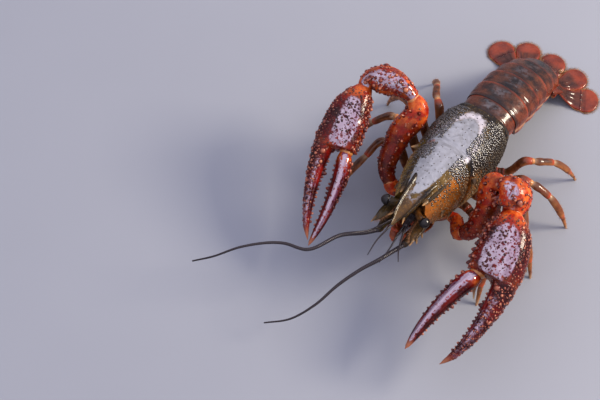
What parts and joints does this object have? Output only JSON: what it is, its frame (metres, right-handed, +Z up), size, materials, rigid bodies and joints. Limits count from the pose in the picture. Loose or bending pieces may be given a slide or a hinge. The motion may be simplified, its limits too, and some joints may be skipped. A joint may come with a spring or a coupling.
{
  "type": "red swamp crayfish",
  "caption": "Life-size still model of a red swamp crayfish (Procambarus clarkii) standing with its red claws held up and forward.",
  "frame": {"origin": "on the floor, under the middle of the whole animal's box", "axes": "the animal faces -Y, its left side is at +X, +Z is up from the floor"},
  "size_m": [0.0902, 0.1402, 0.0401],
  "materials": {
    "shell": "wet olive-brown shell with dark granules",
    "tail": "wet dark brown rings with reddish edges",
    "claw": "wet deep red with raised bumps",
    "leg": "orange-brown, glossy",
    "feeler": "dark red-brown, ringed",
    "underside": "pale tan plates",
    "eye": "black, shiny"
  },
  "bodies": {
    "root": {"epistome": "shell", "mandible_left": "leg", "mandible_right": "leg", "antenna_base_left": "shell", "antenna_base_right": "shell", "antenna_scale_left": "shell", "antenna_scale_right": "shell", "antenna_whip_left": "feeler", "antenna_whip_right": "feeler", "antennule_left": "feeler", "antennule_right": "feeler", "claw_base_left": "claw", "claw_base_right": "claw", "claw_carpus_left": "claw", "claw_carpus_right": "claw", "claw_dactyl_left": "claw", "claw_dactyl_right": "claw", "claw_merus_left": "claw", "claw_merus_right": "claw", "claw_palm_left": "claw", "claw_palm_right": "claw", "eye_left": "eye", "eye_right": "eye", "eyestalk_left": "shell", "eyestalk_right": "shell", "head_shell": "shell", "leg_1_lower_left": "leg", "leg_1_lower_right": "leg", "leg_1_upper_left": "leg", "leg_1_upper_right": "leg", "leg_2_lower_left": "leg", "leg_2_lower_right": "leg", "leg_2_upper_left": "leg", "leg_2_upper_right": "leg", "leg_3_lower_left": "leg", "leg_3_lower_right": "leg", "leg_3_upper_left": "leg", "leg_3_upper_right": "leg", "leg_4_lower_left": "leg", "leg_4_lower_right": "leg", "leg_4_upper_left": "leg", "leg_4_upper_right": "leg", "maxilliped_left": "leg", "maxilliped_right": "leg", "pleon_1": "tail", "pleon_2": "tail", "pleon_3": "tail", "pleon_4": "tail", "pleon_5": "tail", "pleon_6": "tail", "telson": "tail", "thorax_shell": "shell", "thorax_underside": "underside", "uropod_inner_left": "tail", "uropod_inner_right": "tail", "uropod_outer_left": "tail", "uropod_outer_right": "tail"}
  },
  "joints": []
}
